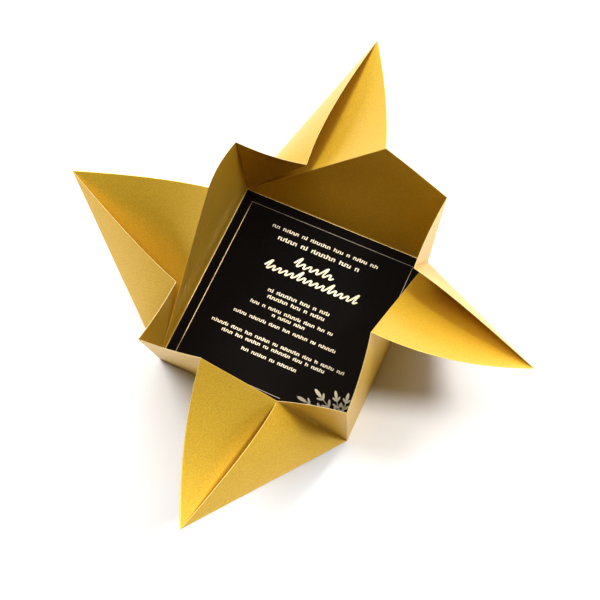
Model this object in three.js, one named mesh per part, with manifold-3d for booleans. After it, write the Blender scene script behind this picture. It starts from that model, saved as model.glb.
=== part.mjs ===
import * as THREE from 'three';
import { mergeVertices } from 'three/addons/utils/BufferGeometryUtils.js';
import Module from 'manifold-3d';

// Origami invitation in millimetres, +Z up, with its origin at the centre of the base's underside.
// One square sheet of gold paper is folded into a square tray whose four petals turn like a pinwheel,
// and stands half open with a square printed card lying on its base.

// Paper sheet
const sheetSide = 297;
const paperThickness = 0.3;
const foldSwell = 0.02;
const mergeTolerance = 0.004; // shortest edge left where faces and folds are joined
const weldDistance = 1e-5; // vertices of a round bar or ball closer than this become one

// Printed card
const cardThickness = 0.5;
const cardClearance = 0.6;

// Gold foil print on the card
const foilThickness = 0.06;
const borderInset = 6.5;
const borderWidth = 0.4;
const borderGapX = 42.5;
const borderGapY = 38;

// How far each corner is folded, in degrees, clockwise seen from above from the back left corner.
// wallLean is the angle between base and wall, and wallCurl rolls the wall's free end inwards.
// petalSwing is the fold between wall and petal. Each bow arches one 45 degree face of the fold,
// and is the angle by which its two straight sides come closer together.
const corners = [
  { wallLean: 73, wallCurl: 3.5, petalSwing: 76, outerBow: 0.2, innerBow: 0.45, gussetBow: 0.15 },
  { wallLean: 91, wallCurl: 12.5, petalSwing: 99.5, outerBow: 0.5, innerBow: 0.05, gussetBow: 0.05 },
  { wallLean: 82, wallCurl: 7.5, petalSwing: 90, outerBow: 0.65, innerBow: 0.55, gussetBow: 0.05 },
  { wallLean: 87, wallCurl: 17.5, petalSwing: 111, outerBow: 0.8, innerBow: 0.15, gussetBow: 0.05 },
];

// Facets across each arched face of the sheet
const wallSteps = 3;
const outerSteps = 6;
const innerSteps = 5;
const gussetSteps = 3;
const foldSides = 8;
const coneSearchSteps = 40;

// The print is drawn for a card this wide, and is enlarged or reduced with the card
const printGrid = 130;

// Foil rows that stand for lines of small print, from top to bottom: place, width and height of each
const foilRows = [
  { y: 48.5, width: 76.8, height: 2.4 },
  { y: 41.8, width: 62.6, height: 2.9 },
  { y: 5.6, width: 43.8, height: 2.4 },
  { y: 1.3, width: 40.5, height: 2.4 },
  { y: -5.8, width: 58.3, height: 2.2 },
  { y: -9.5, width: 24.2, height: 2.2 },
  { y: -15.8, width: 72.9, height: 2.2 },
  { y: -27, width: 93.7, height: 2.2 },
  { y: -31, width: 75.6, height: 2.2 },
  { y: -37.6, width: 41.2, height: 2.2 },
];

// Pen-drawn waves above the middle of the card: place, size, number of waves, and which rise tall
const flourishes = [
  { x: 0, y: 29.4, width: 28, height: 3.8, waves: 6, tall: [0, 4] },
  { x: 1.6, y: 20.6, width: 66, height: 3.8, waves: 15, tall: [0, 5, 10, 14] },
];
const tallGrowth = 2.7;
const penSlant = 0.55;
const nibWidth = 1.1;
const nibHeight = 0.36;
const stepsPerWave = 12;

// Leaf sprigs in the card's front right corner: direction in degrees, stem length and leaf length
const sprigs = [
  { heading: 172, stem: 26, leaf: 7 },
  { heading: 150, stem: 21, leaf: 7 },
  { heading: 122, stem: 16, leaf: 6 },
  { heading: 98, stem: 15, leaf: 6 },
];
const sprigInset = 8;
const stemWidth = 0.5;
const leafPairs = 3;
const leafEndGap = 0.5; // from the last pair to the stem's end, as a share of the gap between pairs
const leafSpread = 40;
const leafSlimness = 3;
const leafShrink = 0.12; // each pair of leaves is this much shorter than the one before
const leafSteps = 4;
const tipOverlap = 1;

// The sheet is creased into fifths: it lies turned by atan(1/2) against the base square
const creaseSlope = 1 / 2;
const baseSide = sheetSide / Math.sqrt(5);
const sheetTurn = Math.atan(creaseSlope);
const nearEdge = sheetSide / 5;
const farEdge = (2 * sheetSide) / 5;
const eighth = Math.PI / 4;
const cardSide = baseSide - 2 * cardClearance;
const cardTop = paperThickness + cardThickness;
const printScale = cardSide / printGrid;
const foldRadius = paperThickness / 2 + foldSwell;

const goldPaper = { color: 0xd9ab3a, roughness: 0.42, metalness: 0.55 };
const blackCard = { color: 0x120d0b, roughness: 0.75, metalness: 0 };
const goldFoil = { color: 0xe3c88c, roughness: 0.3, metalness: 0.95 };

const wasm = await Module();
wasm.setup();

const radians = THREE.MathUtils.degToRad;

function turned(vector, axis, angle) {
  return vector.clone().applyAxisAngle(axis, angle);
}

function normalOf(a, b) {
  return new THREE.Vector3().crossVectors(a, b).normalize();
}

// Distance from a base corner to the raw edge, along a direction in the flat sheet
function rawEdgeDistance(flatAngle) {
  if (flatAngle > Math.PI / 2) {
    return nearEdge / Math.cos(flatAngle - Math.PI + sheetTurn);
  }
  return farEdge / Math.cos(flatAngle - Math.PI / 2 + sheetTurn);
}

// Half angle of the cone on which a sector of the sheet spans only the given chord angle
function coneHalfAngle(chord, sector) {
  let low = sector / (2 * Math.PI);
  let high = Math.PI / 2;
  for (let i = 0; i < coneSearchSteps; i += 1) {
    const middle = (low + high) / 2;
    const reach = Math.sin(middle) * Math.sin(sector / (2 * Math.sin(middle)));
    if (reach > Math.sin(chord / 2)) {
      high = middle;
    } else {
      low = middle;
    }
  }
  return (low + high) / 2;
}

// Directions across an arched face, from one fold to the next, on the cone that keeps its flat angle
function archedDirections(from, to, sector, side, steps) {
  const chord = from.angleTo(to);
  const halfAngle = coneHalfAngle(chord, sector);
  const middle = from.clone().add(to).normalize();
  const across = normalOf(from, to).multiplyScalar(side);
  const tilt = Math.acos(Math.min(1, Math.cos(halfAngle) / Math.cos(chord / 2)));
  const axis = middle.multiplyScalar(Math.cos(tilt)).addScaledVector(across, Math.sin(tilt));
  const turn = sector / Math.sin(halfAngle);
  const directions = [];
  for (let i = 0; i <= steps; i += 1) {
    directions.push(turned(from, axis, (side * turn * i) / steps));
  }
  return directions;
}

// Rays of one face: direction from the base corner, and length to the raw edge
function raysAlong(directions, firstAngle, sector) {
  return directions.map((direction, i) => {
    const flatAngle = firstAngle + (sector * i) / (directions.length - 1);
    return { direction, length: rawEdgeDistance(flatAngle) };
  });
}

// Wall of one side: the triangle on the base's edge, then the free end that rolls inwards
function wallRays(fold) {
  const along = new THREE.Vector3(1, 0, 0);
  const lean = radians(fold.wallLean);
  const rising = new THREE.Vector3(0, Math.cos(lean), Math.sin(lean));
  const reach = along.clone().addScaledVector(rising, creaseSlope);
  const normal = normalOf(along, reach);
  const rays = [
    { direction: along, length: baseSide },
    { direction: reach.clone().normalize(), length: reach.length() * baseSide },
  ];
  const halfRoll = radians(fold.wallCurl) / wallSteps / 2;
  let direction = rays[1].direction;
  for (let i = 1; i <= wallSteps; i += 1) {
    normal.applyAxisAngle(direction, halfRoll);
    direction = turned(direction, normal, (eighth - sheetTurn) / wallSteps);
    normal.applyAxisAngle(direction, halfRoll);
    const flatAngle = sheetTurn + ((eighth - sheetTurn) * i) / wallSteps;
    rays.push({ direction, length: rawEdgeDistance(flatAngle) });
  }
  return { rays, normal };
}

// Direction at the given angles from two others, on the side of the tray
function meetingDirection(a, angleA, b, angleB) {
  const between = a.dot(b);
  const scale = 1 - between * between;
  const shareA = (Math.cos(angleA) - between * Math.cos(angleB)) / scale;
  const shareB = (Math.cos(angleB) - between * Math.cos(angleA)) / scale;
  const flat = a.clone().multiplyScalar(shareA).addScaledVector(b, shareB);
  const rise = Math.sqrt(1 - flat.lengthSq());
  return flat.addScaledVector(normalOf(a, b), rise);
}

// The four faces that meet at one base corner. previous is the corner whose wall ends here.
function cornerFaces(fold, previous) {
  const wall = wallRays(fold);
  const wallFold = wall.rays[wall.rays.length - 1].direction;
  const outerAngle = eighth - radians(fold.outerBow);
  const flatPetal = turned(wallFold, wall.normal, outerAngle);
  const petalFold = turned(flatPetal, wallFold, -radians(fold.petalSwing));
  const lean = radians(previous.wallLean);
  const uprightFold = new THREE.Vector3(-Math.cos(lean), 0, Math.sin(lean));
  const innerAngle = eighth - radians(fold.innerBow);
  const gussetAngle = eighth - radians(fold.gussetBow);
  const innerFold = meetingDirection(petalFold, innerAngle, uprightFold, gussetAngle);
  const outer = archedDirections(wallFold, petalFold, eighth, 1, outerSteps);
  const inner = archedDirections(petalFold, innerFold, eighth, 1, innerSteps);
  const gusset = archedDirections(innerFold, uprightFold, eighth, -1, gussetSteps);
  return [
    wall.rays,
    raysAlong(outer, eighth, eighth),
    raysAlong(inner, 2 * eighth, eighth),
    raysAlong(gusset, 3 * eighth, eighth),
  ];
}

// Closed solid of one face: a fan of triangles thickened by half the paper on both sides
function faceSolid(rays) {
  const facets = [];
  for (let i = 1; i < rays.length; i += 1) {
    facets.push(normalOf(rays[i - 1].direction, rays[i].direction));
  }
  const apexNormal = new THREE.Vector3();
  facets.forEach((normal) => apexNormal.add(normal));
  apexNormal.setLength(paperThickness / 2);
  const upper = [apexNormal];
  const lower = [apexNormal.clone().negate()];
  rays.forEach((ray, i) => {
    const before = facets[Math.max(i - 1, 0)];
    const after = facets[Math.min(i, facets.length - 1)];
    const normal = before.clone().add(after).setLength(paperThickness / 2);
    const end = ray.direction.clone().multiplyScalar(ray.length);
    upper.push(end.clone().add(normal));
    lower.push(end.clone().sub(normal));
  });
  const points = [...upper, ...lower];
  const under = upper.length;
  const faces = [];
  for (let i = 1; i < rays.length; i += 1) {
    faces.push([0, i, i + 1], [under, under + i + 1, under + i]);
    faces.push([i, under + i, under + i + 1], [i, under + i + 1, i + 1]);
  }
  const last = rays.length;
  faces.push([0, under, under + 1], [0, under + 1, 1]);
  faces.push([0, last, under + last], [0, under + last, under]);
  return solidFromPoints(points, faces);
}

function solidFromPoints(points, faces) {
  const vertProperties = new Float32Array(points.flatMap((point) => point.toArray()));
  const triVerts = new Uint32Array(faces.flat());
  return new wasm.Manifold(new wasm.Mesh({ numProp: 3, vertProperties, triVerts }));
}

function solidFromGeometry(geometry) {
  const bare = geometry.clone();
  bare.deleteAttribute('normal');
  bare.deleteAttribute('uv');
  const merged = mergeVertices(bare, weldDistance);
  const vertProperties = new Float32Array(merged.attributes.position.array);
  const triVerts = new Uint32Array(merged.index.array);
  return new wasm.Manifold(new wasm.Mesh({ numProp: 3, vertProperties, triVerts }));
}

function geometryFromSolid(solid) {
  const mesh = solid.getMesh();
  const geometry = new THREE.BufferGeometry();
  geometry.setAttribute('position', new THREE.BufferAttribute(mesh.vertProperties, 3));
  geometry.setIndex(new THREE.BufferAttribute(mesh.triVerts, 1));
  return geometry;
}

// Rounded fold line from the base corner, a little thicker than the paper
function foldSolid(ray) {
  const length = ray.length - foldRadius;
  const rod = new THREE.CylinderGeometry(foldRadius, foldRadius, length, foldSides);
  rod.translate(0, length / 2, 0);
  const upright = new THREE.Vector3(0, 1, 0);
  rod.applyQuaternion(new THREE.Quaternion().setFromUnitVectors(upright, ray.direction));
  return solidFromGeometry(rod);
}

// Sheet around one base corner, turned and moved to its place
function cornerSolid(fold, previous, quarterTurns) {
  const faces = cornerFaces(fold, previous);
  let solid = solidFromGeometry(new THREE.SphereGeometry(foldRadius, foldSides, foldSides / 2));
  faces.forEach((rays) => {
    solid = solid.add(faceSolid(rays));
    solid = solid.add(foldSolid(rays[0]));
  });
  const upright = faces[3][faces[3].length - 1];
  solid = solid.add(foldSolid(upright));
  const middleOfPaper = paperThickness / 2;
  return solid
    .translate([-baseSide / 2, baseSide / 2, middleOfPaper])
    .rotate([0, 0, -90 * quarterTurns]);
}

// Whole folded sheet, cut flat where its folds would reach below the base's underside
function wrapGeometry() {
  const base = new THREE.BoxGeometry(baseSide, baseSide, paperThickness);
  base.translate(0, 0, paperThickness / 2);
  let sheet = solidFromGeometry(base);
  corners.forEach((fold, i) => {
    const previous = corners[(i + corners.length - 1) % corners.length];
    sheet = sheet.add(cornerSolid(fold, previous, i));
  });
  return geometryFromSolid(sheet.trimByPlane([0, 0, 1], 0).simplify(mergeTolerance));
}

function cardGeometry() {
  const geometry = new THREE.BoxGeometry(cardSide, cardSide, cardThickness);
  return geometry.translate(0, 0, paperThickness + cardThickness / 2);
}

// Foil print of one or more outlines, drawn anticlockwise on the print's grid and joined together
function printGeometry(outlines) {
  const print = new wasm.CrossSection(outlines, 'Positive').simplify(mergeTolerance);
  const foil = print.scale([printScale, printScale]).extrude(foilThickness);
  return geometryFromSolid(foil.translate([0, 0, cardTop]));
}

// Fine line inside the card's edge, left open at the corner that holds the sprigs
function borderOutline() {
  const outer = printGrid / 2 - borderInset;
  const inner = outer - borderWidth;
  const endX = outer - borderGapX;
  const endY = borderGapY - outer;
  return [
    [-outer, -outer],
    [endX, -outer],
    [endX, -inner],
    [-inner, -inner],
    [-inner, inner],
    [inner, inner],
    [inner, endY],
    [outer, endY],
    [outer, outer],
    [-outer, outer],
  ];
}

function rowOutline(row) {
  const right = row.width / 2;
  const top = row.y + row.height / 2;
  const bottom = row.y - row.height / 2;
  return [
    [-right, bottom],
    [right, bottom],
    [right, top],
    [-right, top],
  ];
}

// Slanted nib of a pen at one point of its path
function nibAt([x, y]) {
  const side = nibWidth / 2;
  const drop = nibHeight / 2;
  return [
    [x - side, y],
    [x, y - drop],
    [x + side, y - drop],
    [x + side, y],
    [x, y + drop],
    [x - side, y + drop],
  ];
}

// Outlines of a flourish: the nib's sweep from each point of a slanted wave to the next
function flourishOutlines(flourish) {
  const steps = flourish.waves * stepsPerWave;
  const nibs = [];
  for (let i = 0; i <= steps; i += 1) {
    const turn = i / stepsPerWave;
    const wave = Math.sin(turn * 2 * Math.PI);
    const isTall = wave > 0 && flourish.tall.includes(Math.floor(turn));
    const y = (wave * flourish.height * (isTall ? tallGrowth : 1)) / 2;
    const x = (turn / flourish.waves - 0.5) * flourish.width + y * penSlant;
    nibs.push(nibAt([flourish.x + x, flourish.y + y]));
  }
  return nibs.slice(1).flatMap((nib, i) => {
    return wasm.CrossSection.hull([nibs[i], nib]).toPolygons();
  });
}

// Pointed leaf along +X from the origin, as a lens
function leafOutline(length) {
  const width = length / leafSlimness;
  const points = [];
  for (let i = 0; i < 2 * leafSteps; i += 1) {
    const turn = (i * Math.PI) / leafSteps;
    const x = ((1 - Math.cos(turn)) * length) / 2;
    const y = (-Math.sin(turn) * width) / 2;
    points.push([x, y]);
  }
  return points;
}

function placed(points, x, y, heading) {
  const angle = radians(heading);
  return points.map((point) => [
    x + point[0] * Math.cos(angle) - point[1] * Math.sin(angle),
    y + point[0] * Math.sin(angle) + point[1] * Math.cos(angle),
  ]);
}

// Straight stems that spread from near the corner, each with pairs of leaves and one at its end
function sprigOutlines() {
  const rootX = printGrid / 2 - sprigInset;
  const rootY = -rootX;
  const half = stemWidth / 2;
  const outlines = [];
  sprigs.forEach((sprig) => {
    const stem = [
      [0, -half],
      [sprig.stem, -half],
      [sprig.stem, half],
      [0, half],
    ];
    outlines.push(placed(stem, rootX, rootY, sprig.heading));
    const angle = radians(sprig.heading);
    const addLeaf = (along, length, turn) => {
      const x = rootX + along * Math.cos(angle);
      const y = rootY + along * Math.sin(angle);
      outlines.push(placed(leafOutline(length), x, y, sprig.heading + turn));
    };
    for (let pair = 1; pair <= leafPairs; pair += 1) {
      const along = (sprig.stem * pair) / (leafPairs + leafEndGap);
      const length = sprig.leaf * (1 - leafShrink * pair);
      addLeaf(along, length, -leafSpread);
      addLeaf(along, length, leafSpread);
    }
    addLeaf(sprig.stem - tipOverlap, sprig.leaf, 0);
  });
  return outlines;
}

function piece(name, geometry, look) {
  const mesh = new THREE.Mesh(geometry, new THREE.MeshStandardMaterial(look));
  mesh.name = name;
  return mesh;
}

const invitation = new THREE.Group();
invitation.add(piece('folded_wrap', wrapGeometry(), goldPaper));
invitation.add(piece('card', cardGeometry(), blackCard));
invitation.add(piece('foil_border', printGeometry([borderOutline()]), goldFoil));
invitation.add(piece('foil_sprigs', printGeometry(sprigOutlines()), goldFoil));
foilRows.forEach((row, i) => {
  invitation.add(piece(`foil_row_${i + 1}`, printGeometry([rowOutline(row)]), goldFoil));
});
flourishes.forEach((flourish, i) => {
  const name = `foil_flourish_${i + 1}`;
  invitation.add(piece(name, printGeometry(flourishOutlines(flourish)), goldFoil));
});

export default invitation;
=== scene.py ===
import math

import bmesh
import bpy
from mathutils import Matrix, Vector, noise


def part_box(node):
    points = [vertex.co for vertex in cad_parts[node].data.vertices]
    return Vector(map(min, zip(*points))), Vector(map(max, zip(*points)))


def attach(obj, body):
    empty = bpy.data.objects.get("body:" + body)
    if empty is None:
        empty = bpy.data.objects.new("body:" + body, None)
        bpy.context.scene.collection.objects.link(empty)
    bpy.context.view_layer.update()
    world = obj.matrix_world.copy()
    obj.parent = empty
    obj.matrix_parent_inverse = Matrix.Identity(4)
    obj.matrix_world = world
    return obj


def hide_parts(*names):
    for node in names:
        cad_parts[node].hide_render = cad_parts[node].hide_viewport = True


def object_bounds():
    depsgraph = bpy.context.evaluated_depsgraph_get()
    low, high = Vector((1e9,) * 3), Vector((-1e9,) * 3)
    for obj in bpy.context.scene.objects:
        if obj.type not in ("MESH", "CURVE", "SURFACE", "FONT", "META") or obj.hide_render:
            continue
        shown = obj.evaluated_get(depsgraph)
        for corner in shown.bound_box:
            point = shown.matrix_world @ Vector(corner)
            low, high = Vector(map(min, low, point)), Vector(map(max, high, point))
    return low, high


# Origami invitation: a folded sheet of gold paper with a black printed card, in metres.
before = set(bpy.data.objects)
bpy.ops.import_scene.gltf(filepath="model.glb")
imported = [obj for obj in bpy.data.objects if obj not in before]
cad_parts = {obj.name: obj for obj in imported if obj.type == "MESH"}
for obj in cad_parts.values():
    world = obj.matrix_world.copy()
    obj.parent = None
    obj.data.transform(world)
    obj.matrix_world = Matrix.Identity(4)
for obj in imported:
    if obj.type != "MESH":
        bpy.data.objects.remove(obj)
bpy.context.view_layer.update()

MM = 0.001

# Sheet and folds, as in the part's source
SHEET_SIDE = 297 * MM
PAPER = 0.3 * MM
BASE_SIDE = SHEET_SIDE / math.sqrt(5)
SHEET_TURN = math.atan2(1, 2)
EIGHTH = math.pi / 4
NEAR_EDGE = SHEET_SIDE / 5
FAR_EDGE = 2 * SHEET_SIDE / 5

# How each corner is folded, in degrees: lean and inward roll of its wall, fold between wall and petal,
# and by how much the petal's outer face, its inner face and the gusset span less than 45 degrees, arched
CORNERS = [
    {"lean": 73, "curl": 3.5, "swing": 76, "outer": 0.2, "inner": 0.45, "gusset": 0.15},
    {"lean": 91, "curl": 12.5, "swing": 99.5, "outer": 0.5, "inner": 0.05, "gusset": 0.05},
    {"lean": 82, "curl": 7.5, "swing": 90, "outer": 0.65, "inner": 0.55, "gusset": 0.05},
    {"lean": 87, "curl": 17.5, "swing": 111, "outer": 0.8, "inner": 0.15, "gusset": 0.05},
]

# Fineness of the sheet's mesh: rows from each base corner to the raw edge, and columns across a face
ROWS = 30
COLUMNS = 14
FOLD_COLUMNS = (0.3 * MM, 0.8 * MM)
CLOSE_COLUMN_LIMIT = 0.3  # widest close column near a corner, as a share of a plain column
ROLL_STEPS = 24
CONE_SEARCH_STEPS = 40
WELD_DISTANCE = 0.02 * MM

# Wear of the sheet: how far the raw edge is cut back, which edges of the mesh are folds, how much each
# fold is rounded, and how strong the painted highlight is at the base's folds and at the others
EDGE_WEAR = 0.15 * MM
SHARP_FOLD = math.radians(12)
FOLD_REACH = 1.6 * FOLD_COLUMNS[0]
FOLD_ROUNDING = 0.5
BASE_FOLD_TOP = 3 * PAPER
BASE_FOLD_HIGHLIGHT = 1
UPPER_FOLD_HIGHLIGHT = 0.35

# Ripple of the paper: height and length of its waves, where it starts above the base and how it grows
RIPPLE = 0.25 * MM
RIPPLE_LENGTH = 45 * MM
RIPPLE_START = 5 * MM
RIPPLE_RISE = 25 * MM

# Print on the card
CARD_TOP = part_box("card")[1][2]
FOIL = 0.06 * MM
ROWS_OF_PRINT = 10

# Strokes that a row of print is cut into, as shares of its height, and the number of strokes in each group
STROKE_WIDTH = 0.26
STROKE_PITCH = 0.62
GROUP_GAP = 0.75
SHORTER_BY = 0.22
TALL_EVERY = 5
BAR_SHARE = 0.6  # height of a bar that joins two strokes, as a share of a stroke's width
GROUP_LENGTHS = (6, 4, 8, 3, 10, 5, 2, 7, 9)

# Colours of each material's grain: place on the noise and colour of its dark and of its pale grains
GOLD_GRAIN = ((0.28, (0.515, 0.303, 0.0115)), (0.72, (0.765, 0.472, 0.030)))
EDGE_GRAIN = ((0.3, (0.55, 0.40, 0.14)), (0.7, (0.75, 0.60, 0.30)))
CARD_GRAIN = ((0.3, (0.0011, 0.0007, 0.0005)), (0.7, (0.0021, 0.0013, 0.0009)))
FOIL_GRAIN = ((0.3, (0.52, 0.44, 0.29)), (0.7, (0.72, 0.63, 0.45)))
# Colour of the painted highlight along the folds
PAINTED_FOLD_HIGHLIGHT = (0.95, 0.72, 0.30, 1)
FLOOR_WHITE = (0.79, 0.785, 0.78, 1)

# Painted reflection of the dark walls on the foil near them: how bright the foil still is there, and along
# which axis, from where to where it darkens, in mm
PAINTED_REFLECTION_LEVEL = 0.34
PAINTED_REFLECTION_SIDES = (("X", 30, 57), ("Y", 50, 58), ("Y", -39, -50))

# Camera, as seen in the photograph, with its angles in degrees
FOCAL_LENGTH = 71.6
SENSOR = 36
CAMERA_ELEVATION = 69.85
CAMERA_AZIMUTH = 28.2
CAMERA_ROLL = 3.93
CAMERA_DISTANCE = 784.5 * MM
CAMERA_RIGHT = 3.55 * MM
CAMERA_UP = 6.24 * MM

# Studio: direction of its bright side, cosine of the angle from it beyond which the studio is dark,
# both strengths, and half the floor's side in metres
BRIGHT_SIDE = (-0.2, 0.7, 0.6)
DARK_BEYOND = 0.55
WORLD_DARK = 0.02
WORLD_BRIGHT = 3.4
FLOOR_REACH = 30

# Round lights aimed at the origin: name, place and width in metres, and power in watts
LIGHTS = [
    ("left_key", (-1.35, 0.3, 1.9), 1.3, 49),
    ("right_key", (1.24, 0.6, 2.1), 0.6, 50),
]


def turned(vector, axis, angle):
    return Matrix.Rotation(angle, 3, axis) @ vector


def normal_of(a, b):
    return a.cross(b).normalized()


def raw_edge_distance(flat_angle):
    """Distance from a base corner to the sheet's raw edge, along a direction in the flat sheet."""
    if flat_angle > math.pi / 2:
        return NEAR_EDGE / math.cos(flat_angle - math.pi + SHEET_TURN)
    return FAR_EDGE / math.cos(flat_angle - math.pi / 2 + SHEET_TURN)


def cone_half_angle(chord, sector):
    """Half angle of the cone on which a sector of the sheet spans only the given chord angle."""
    low = sector / (2 * math.pi)
    high = math.pi / 2
    for _ in range(CONE_SEARCH_STEPS):
        middle = (low + high) / 2
        if math.sin(middle) * math.sin(sector / (2 * math.sin(middle))) > math.sin(chord / 2):
            high = middle
        else:
            low = middle
    return (low + high) / 2


def arched_face(start, end, first_angle, side):
    """Face of 45 degrees between two folds: gives direction and flat angle at a share of its width."""
    chord = start.angle(end)
    half_angle = cone_half_angle(chord, EIGHTH)
    across = normal_of(start, end) * side
    tilt = math.acos(min(1, math.cos(half_angle) / math.cos(chord / 2)))
    axis = (start + end).normalized() * math.cos(tilt) + across * math.sin(tilt)
    turn = side * EIGHTH / math.sin(half_angle)
    return lambda share: (turned(start, axis, turn * share), first_angle + EIGHTH * share)


def meeting_direction(a, angle_a, b, angle_b):
    """Direction at the given angles from two others, on the side of the tray."""
    between = a.dot(b)
    scale = 1 - between * between
    share_a = (math.cos(angle_a) - between * math.cos(angle_b)) / scale
    share_b = (math.cos(angle_b) - between * math.cos(angle_a)) / scale
    flat = a * share_a + b * share_b
    return flat + normal_of(a, b) * math.sqrt(1 - flat.length_squared)


def wall_end_face(fold):
    """Free end of a wall beyond its upright fold, rolled inwards a little."""
    lean = math.radians(fold["lean"])
    rising = Vector((0, math.cos(lean), math.sin(lean)))
    along = Vector((1, 0, 0))
    start = (along + rising / 2).normalized()
    normal = normal_of(along, start)
    sector = EIGHTH - SHEET_TURN
    half_roll = math.radians(fold["curl"]) / ROLL_STEPS / 2
    directions = [start]
    direction = start
    for _ in range(ROLL_STEPS):
        normal = turned(normal, direction, half_roll)
        direction = turned(direction, normal, sector / ROLL_STEPS)
        normal = turned(normal, direction, half_roll)
        directions.append(direction)

    def at(share):
        place = share * ROLL_STEPS
        step = min(int(place), ROLL_STEPS - 1)
        blend = directions[step].lerp(directions[step + 1], place - step)
        return blend.normalized(), SHEET_TURN + sector * share

    return at, direction, normal


def wall_foot_face(fold):
    """Triangle of a wall that stands on the base's edge, between base and upright fold."""
    lean = math.radians(fold["lean"])
    rising = Vector((0, math.cos(lean), math.sin(lean)))

    def at(share):
        reach = Vector((1, 0, 0)) + rising * share / 2
        return reach.normalized(), math.atan2(share, 2)

    return at


def corner_faces(fold, previous):
    """The faces around one base corner, from the base's edge round to the upright fold."""
    wall_end, wall_fold, wall_normal = wall_end_face(fold)
    outer_angle = EIGHTH - math.radians(fold["outer"])
    flat_petal = turned(wall_fold, wall_normal, outer_angle)
    petal_fold = turned(flat_petal, wall_fold, -math.radians(fold["swing"]))
    lean = math.radians(previous["lean"])
    upright_fold = Vector((-math.cos(lean), 0, math.sin(lean)))
    inner_angle = EIGHTH - math.radians(fold["inner"])
    gusset_angle = EIGHTH - math.radians(fold["gusset"])
    inner_fold = meeting_direction(petal_fold, inner_angle, upright_fold, gusset_angle)
    return [
        (wall_foot_face(fold), True),
        (wall_end, False),
        (arched_face(wall_fold, petal_fold, EIGHTH, 1), False),
        (arched_face(petal_fold, inner_fold, 2 * EIGHTH, 1), False),
        (arched_face(inner_fold, upright_fold, 3 * EIGHTH, -1), False),
    ]


def row_shares():
    """Shares of the way from corner to raw edge, with two close rows at each end."""
    near = [width / (BASE_SIDE / 2) for width in FOLD_COLUMNS]
    inside = [near[-1] + (1 - 2 * near[-1]) * i / ROWS for i in range(ROWS + 1)]
    return [near[0]] + inside + [1 - near[0], 1]


def column_shares(radius, is_foot):
    """Shares across a face, with two close columns beside each fold."""
    if is_foot:
        return [0] + row_shares()
    near = [min(width / (radius * EIGHTH), CLOSE_COLUMN_LIMIT / COLUMNS) for width in FOLD_COLUMNS]
    inside = [near[-1] + (1 - 2 * near[-1]) * i / COLUMNS for i in range(COLUMNS + 1)]
    return [0, near[0]] + inside + [1 - near[0], 1]


def face_points(face, is_foot):
    """Grid of points of one face in the corner's own frame: rows outwards, columns across."""
    grid = []
    for row in row_shares():
        points = []
        for share in column_shares(row * FAR_EDGE, is_foot):
            direction, flat_angle = face(share)
            length = BASE_SIDE / math.cos(flat_angle)
            if not is_foot:
                length = raw_edge_distance(flat_angle) - EDGE_WEAR
            points.append(direction * length * row)
        grid.append(points)
    return grid


def add_grid(mesh, apex, grid):
    """Fan from the corner, then strips of quads out to the raw edge."""
    tip = mesh.verts.new(apex)
    rows = [[mesh.verts.new(point) for point in points] for points in grid]
    for left, right in zip(rows[0], rows[0][1:]):
        mesh.faces.new((tip, left, right))
    for inner, outer in zip(rows, rows[1:]):
        for i in range(len(inner) - 1):
            mesh.faces.new((inner[i], outer[i], outer[i + 1], inner[i + 1]))


def add_base(mesh):
    """Base square: two narrow rings along the folds, then one flat face."""
    half = BASE_SIDE / 2
    shares = [0] + row_shares()[:-1]
    rings = []
    for inset in (0,) + FOLD_COLUMNS:
        ring = []
        for quarter in range(4):
            turn = Matrix.Rotation(-quarter * math.pi / 2, 3, "Z")
            for share in shares:
                x = -half + inset + share * 2 * (half - inset)
                point = turn @ Vector((x, half - inset, PAPER / 2))
                ring.append(mesh.verts.new(point))
        rings.append(ring)
    for outer, inner in zip(rings, rings[1:]):
        for i in range(len(outer)):
            j = (i + 1) % len(outer)
            mesh.faces.new((outer[j], outer[i], inner[i], inner[j]))
    mesh.faces.new(list(reversed(rings[-1])))


def round_folds(mesh):
    """Mark each fold's vertices with a painted highlight and pull them between their neighbours, for a
    small worn bend.
    """
    highlight_level = mesh.verts.layers.float.new("painted_fold_highlight")
    folded = set()
    for edge in mesh.edges:
        if len(edge.link_faces) == 2 and edge.calc_face_angle(0) > SHARP_FOLD:
            folded.update(edge.verts)
    moves = {}
    for vert in folded:
        beside = []
        for edge in vert.link_edges:
            other = edge.other_vert(vert)
            if other not in folded and edge.calc_length() < FOLD_REACH:
                beside.append(other.co)
        if len(beside) == 2:
            moves[vert] = vert.co.lerp((beside[0] + beside[1]) / 2, FOLD_ROUNDING)
    for vert, place in moves.items():
        vert.co = place
    for vert in folded:
        # Painted highlight, strongest on the base's folds and the flat strip beside them
        at_base = vert.co.z < BASE_FOLD_TOP
        vert[highlight_level] = BASE_FOLD_HIGHLIGHT if at_base else UPPER_FOLD_HIGHLIGHT
        for edge in vert.link_edges:
            other = edge.other_vert(vert)
            if at_base and other.co.z < PAPER and edge.calc_length() < FOLD_REACH:
                other[highlight_level] = BASE_FOLD_HIGHLIGHT


def ripple(mesh):
    """Very shallow waves that handled paper has, fading out towards the base."""
    mesh.normal_update()
    shifts = []
    for vert in mesh.verts:
        fade = min(1, max(0, (vert.co.z - RIPPLE_START) / RIPPLE_RISE))
        wave = noise.noise(vert.co / RIPPLE_LENGTH)
        shifts.append(vert.normal * wave * RIPPLE * fade)
    for vert, shift in zip(mesh.verts, shifts):
        vert.co += shift


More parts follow.
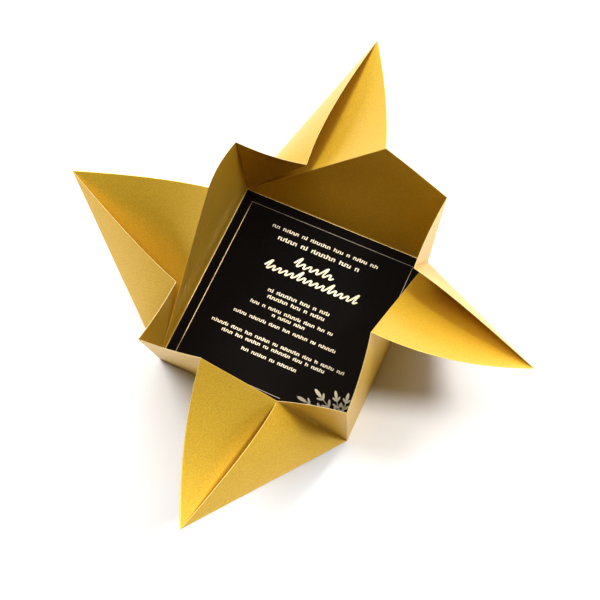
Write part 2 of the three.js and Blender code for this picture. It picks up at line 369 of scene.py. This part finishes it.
def folded_sheet():
    mesh = bmesh.new()
    add_base(mesh)
    for quarter, fold in enumerate(CORNERS):
        turn = Matrix.Rotation(-quarter * math.pi / 2, 3, "Z")
        apex = Vector((-BASE_SIDE / 2, BASE_SIDE / 2, PAPER / 2))
        for face, is_foot in corner_faces(fold, CORNERS[quarter - 1]):
            grid = face_points(face, is_foot)
            placed = [[turn @ (apex + point) for point in points] for points in grid]
            add_grid(mesh, turn @ apex, placed)
    bmesh.ops.remove_doubles(mesh, verts=mesh.verts, dist=WELD_DISTANCE)
    bmesh.ops.recalc_face_normals(mesh, faces=mesh.faces)
    round_folds(mesh)
    ripple(mesh)
    sheet = new_object("folded_sheet", mesh)
    thickness = sheet.modifiers.new("paper", "SOLIDIFY")
    thickness.thickness = PAPER
    thickness.offset = 0
    thickness.material_offset_rim = 1
    return sheet


def new_object(name, mesh):
    data = bpy.data.meshes.new(name)
    mesh.to_mesh(data)
    mesh.free()
    data.shade_smooth()
    piece = bpy.data.objects.new(name, data)
    bpy.context.scene.collection.objects.link(piece)
    return piece


def node_setup(name):
    material = bpy.data.materials.new(name)
    material.use_nodes = True
    tree = material.node_tree
    shader = tree.nodes["Principled BSDF"]
    return material, tree, shader


def add_node(tree, kind, **values):
    node = tree.nodes.new(kind)
    for key, value in values.items():
        setattr(node, key, value)
    return node


def noise_at(tree, scale, detail):
    place = add_node(tree, "ShaderNodeTexCoord")
    grain = add_node(tree, "ShaderNodeTexNoise")
    grain.inputs["Scale"].default_value = scale
    grain.inputs["Detail"].default_value = detail
    tree.links.new(place.outputs["Object"], grain.inputs["Vector"])
    return grain


def grain_colour(tree, grain, stops):
    """Colour that runs from the dark grains to the pale ones."""
    node = add_node(tree, "ShaderNodeValToRGB")
    for element, (position, colour) in zip(node.color_ramp.elements, stops):
        element.position = position
        element.color = (*colour, 1)
    tree.links.new(grain.outputs["Fac"], node.inputs["Fac"])
    return node.outputs["Color"]


def relief(tree, shader, grain, strength, distance):
    """Small bumps where the grain is pale."""
    node = add_node(tree, "ShaderNodeBump")
    node.inputs["Strength"].default_value = strength
    node.inputs["Distance"].default_value = distance
    tree.links.new(grain.outputs["Fac"], node.inputs["Height"])
    tree.links.new(node.outputs["Normal"], shader.inputs["Normal"])


def gold_paper():
    """Pearlescent gold paper: fine mica grain in colour, roughness and relief, under a thin gloss, with a
    painted highlight along its folds.
    """
    material, tree, shader = node_setup("gold_paper")
    grain = noise_at(tree, scale=1600, detail=2)
    # Painted highlight: pale gold mixed in along the folds, strongest at the base's folds
    highlight_level = add_node(tree, "ShaderNodeAttribute", attribute_name="painted_fold_highlight")
    highlighted = add_node(tree, "ShaderNodeMixRGB")
    highlighted.inputs["Color2"].default_value = PAINTED_FOLD_HIGHLIGHT
    tree.links.new(highlight_level.outputs["Fac"], highlighted.inputs["Fac"])
    tree.links.new(grain_colour(tree, grain, GOLD_GRAIN), highlighted.inputs["Color1"])
    tree.links.new(highlighted.outputs["Color"], shader.inputs["Base Color"])
    spread = add_node(tree, "ShaderNodeMapRange")
    spread.inputs["To Min"].default_value = 0.42
    spread.inputs["To Max"].default_value = 0.58
    tree.links.new(grain.outputs["Fac"], spread.inputs["Value"])
    tree.links.new(spread.outputs["Result"], shader.inputs["Roughness"])
    shader.inputs["Metallic"].default_value = 0.6
    shader.inputs["Coat Weight"].default_value = 0.5
    shader.inputs["Coat Roughness"].default_value = 0.32
    shader.inputs["Coat IOR"].default_value = 1.5
    relief(tree, shader, grain, strength=0.35, distance=0.03 * MM)
    return material


def paper_edge():
    """Cut edge of the gold paper, paler where the core shows."""
    material, tree, shader = node_setup("paper_edge")
    grain = noise_at(tree, scale=900, detail=2)
    tree.links.new(grain_colour(tree, grain, EDGE_GRAIN), shader.inputs["Base Color"])
    shader.inputs["Roughness"].default_value = 0.6
    shader.inputs["Metallic"].default_value = 0.2
    return material


def black_card():
    """Matt black board with a faint fibre grain."""
    material, tree, shader = node_setup("black_card")
    grain = noise_at(tree, scale=700, detail=4)
    tree.links.new(grain_colour(tree, grain, CARD_GRAIN), shader.inputs["Base Color"])
    shader.inputs["Roughness"].default_value = 0.7
    shader.inputs["Specular IOR Level"].default_value = 0.04
    relief(tree, shader, grain, strength=0.2, distance=0.02 * MM)
    return material


def fade(tree, axes, axis, start, end):
    """Painted reflection: brightness that falls from 1 to the darkened foil's between two places along an
    axis.
    """
    share = add_node(tree, "ShaderNodeMapRange")
    share.inputs["From Min"].default_value = start
    share.inputs["From Max"].default_value = end
    share.inputs["To Min"].default_value = 1
    share.inputs["To Max"].default_value = PAINTED_REFLECTION_LEVEL
    tree.links.new(axes.outputs[axis], share.inputs["Value"])
    return share.outputs["Result"]


def gold_foil():
    """Stamped foil: bright metal, with a painted darker reflection of the walls beside it."""
    material, tree, shader = node_setup("gold_foil")
    grain = noise_at(tree, scale=260, detail=2)
    place = add_node(tree, "ShaderNodeTexCoord")
    axes = add_node(tree, "ShaderNodeSeparateXYZ")
    tree.links.new(place.outputs["Object"], axes.inputs["Vector"])
    # Painted reflection: the foil darkens towards the walls
    fades = [fade(tree, axes, axis, start * MM, end * MM) for axis, start, end in PAINTED_REFLECTION_SIDES]
    brightness = fades[0]
    for other in fades[1:]:
        both = add_node(tree, "ShaderNodeMath", operation="MULTIPLY")
        tree.links.new(brightness, both.inputs[0])
        tree.links.new(other, both.inputs[1])
        brightness = both.outputs["Value"]
    dimmed = add_node(tree, "ShaderNodeVectorMath", operation="SCALE")
    tree.links.new(grain_colour(tree, grain, FOIL_GRAIN), dimmed.inputs[0])
    tree.links.new(brightness, dimmed.inputs["Scale"])
    tree.links.new(dimmed.outputs["Vector"], shader.inputs["Base Color"])
    shader.inputs["Metallic"].default_value = 0.65
    shader.inputs["Roughness"].default_value = 0.3
    relief(tree, shader, grain, strength=0.3, distance=0.02 * MM)
    return material


def pale_floor():
    material, _, shader = node_setup("pale_floor")
    shader.inputs["Base Color"].default_value = FLOOR_WHITE
    shader.inputs["Roughness"].default_value = 0.9
    return material


def add_block(mesh, low_x, low_y, high_x, high_y):
    """Foil plate with upright sides, lying on the card."""
    outline = [(low_x, low_y), (high_x, low_y), (high_x, high_y), (low_x, high_y)]
    lower = [mesh.verts.new((x, y, CARD_TOP)) for x, y in outline]
    upper = [mesh.verts.new((x, y, CARD_TOP + FOIL)) for x, y in outline]
    mesh.faces.new(upper)
    mesh.faces.new(list(reversed(lower)))
    for i in range(len(outline)):
        j = (i + 1) % len(outline)
        mesh.faces.new((lower[i], lower[j], upper[j], upper[i]))


def row_of_marks(name, first_group):
    """Small meander strokes in groups that spell nothing, inside the solid of one printed row."""
    low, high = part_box(name)
    height = high[1] - low[1]
    stroke = STROKE_WIDTH * height
    pitch = STROKE_PITCH * height
    gap = GROUP_GAP * height
    bar = stroke * BAR_SHARE
    short_top = high[1] - SHORTER_BY * height
    mesh = bmesh.new()
    x = low[0]
    group = first_group
    while x < high[0] - 2 * pitch:
        strokes = GROUP_LENGTHS[group % len(GROUP_LENGTHS)]
        for i in range(strokes):
            if x + stroke > high[0]:
                break
            is_tall = (i + group) % TALL_EVERY == 0
            add_block(mesh, x, low[1], x + stroke, high[1] if is_tall else short_top)
            if i < strokes - 1 and x + pitch + stroke < high[0]:
                level = low[1] if i % 2 else short_top - bar
                add_block(mesh, x + stroke, level, x + pitch, level + bar)
            x += pitch
        x += gap
        group += 1
    marks = new_object(name + "_print", mesh)
    marks.data.shade_flat()
    return marks


def make_floor():
    mesh = bmesh.new()
    bmesh.ops.create_grid(mesh, x_segments=1, y_segments=1, size=FLOOR_REACH)
    floor = new_object("floor", mesh)
    floor.location.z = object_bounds()[0][2]
    floor.data.materials.append(pale_floor())


def make_camera():
    """Camera at the photograph's viewing angle, turned by its small roll."""
    azimuth = math.radians(CAMERA_AZIMUTH)
    elevation = math.radians(CAMERA_ELEVATION)
    roll = math.radians(CAMERA_ROLL)
    right = Vector((math.cos(azimuth), math.sin(azimuth), 0))
    back = Vector((
        math.sin(azimuth) * math.cos(elevation),
        -math.cos(azimuth) * math.cos(elevation),
        math.sin(elevation),
    ))
    up = back.cross(right)
    place = back * CAMERA_DISTANCE + right * CAMERA_RIGHT + up * CAMERA_UP
    rolled_right = right * math.cos(roll) - up * math.sin(roll)
    rolled_up = right * math.sin(roll) + up * math.cos(roll)
    camera = bpy.data.objects.new("camera", bpy.data.cameras.new("camera"))
    camera.data.lens = FOCAL_LENGTH
    camera.data.sensor_width = SENSOR
    turn = Matrix((rolled_right, rolled_up, back)).transposed()
    camera.matrix_world = Matrix.Translation(place) @ turn.to_4x4()
    bpy.context.scene.collection.objects.link(camera)
    bpy.context.scene.camera = camera


def soft_light(name, place, size, power):
    data = bpy.data.lights.new(name, "AREA")
    data.shape = "DISK"
    data.size = size
    data.energy = power
    lamp = bpy.data.objects.new(name, data)
    lamp.location = place
    lamp.rotation_euler = (-Vector(place)).to_track_quat("-Z", "Y").to_euler()
    bpy.context.scene.collection.objects.link(lamp)


def make_world():
    """Studio that is brightest behind and to the left, and dims towards the front right."""
    world = bpy.data.worlds.new("studio")
    world.use_nodes = True
    tree = world.node_tree
    background = tree.nodes["Background"]
    place = add_node(tree, "ShaderNodeTexCoord")
    facing = add_node(tree, "ShaderNodeVectorMath", operation="DOT_PRODUCT")
    facing.inputs[1].default_value = Vector(BRIGHT_SIDE).normalized()
    strength = add_node(tree, "ShaderNodeMapRange")
    strength.inputs["From Min"].default_value = DARK_BEYOND
    strength.inputs["To Min"].default_value = WORLD_DARK
    strength.inputs["To Max"].default_value = WORLD_BRIGHT
    tree.links.new(place.outputs["Generated"], facing.inputs[0])
    tree.links.new(facing.outputs["Value"], strength.inputs["Value"])
    tree.links.new(strength.outputs["Result"], background.inputs["Strength"])
    background.inputs["Color"].default_value = (1, 1, 1, 1)
    bpy.context.scene.world = world


# The folded sheet, with its cut edge as a second material
sheet = folded_sheet()
sheet.data.materials.append(gold_paper())
sheet.data.materials.append(paper_edge())
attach(sheet, "root")
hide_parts("folded_wrap")

# Rows of print, cut into strokes
foil = gold_foil()
for number in range(1, ROWS_OF_PRINT + 1):
    node = f"foil_row_{number}"
    marks = row_of_marks(node, number)
    marks.data.materials.append(foil)
    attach(marks, "root")
    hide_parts(node)

# The card and the rest of the print keep the solids' own shapes
looks = {
    "card": black_card(),
    "foil_border": foil,
    "foil_sprigs": foil,
    "foil_flourish_1": foil,
    "foil_flourish_2": foil,
}
for name, material in looks.items():
    node = bpy.data.objects[name]
    node.data.materials.clear()
    node.data.materials.append(material)

# Studio
make_floor()
make_camera()
for light in LIGHTS:
    soft_light(*light)
make_world()
bpy.context.scene.view_settings.view_transform = "Standard"
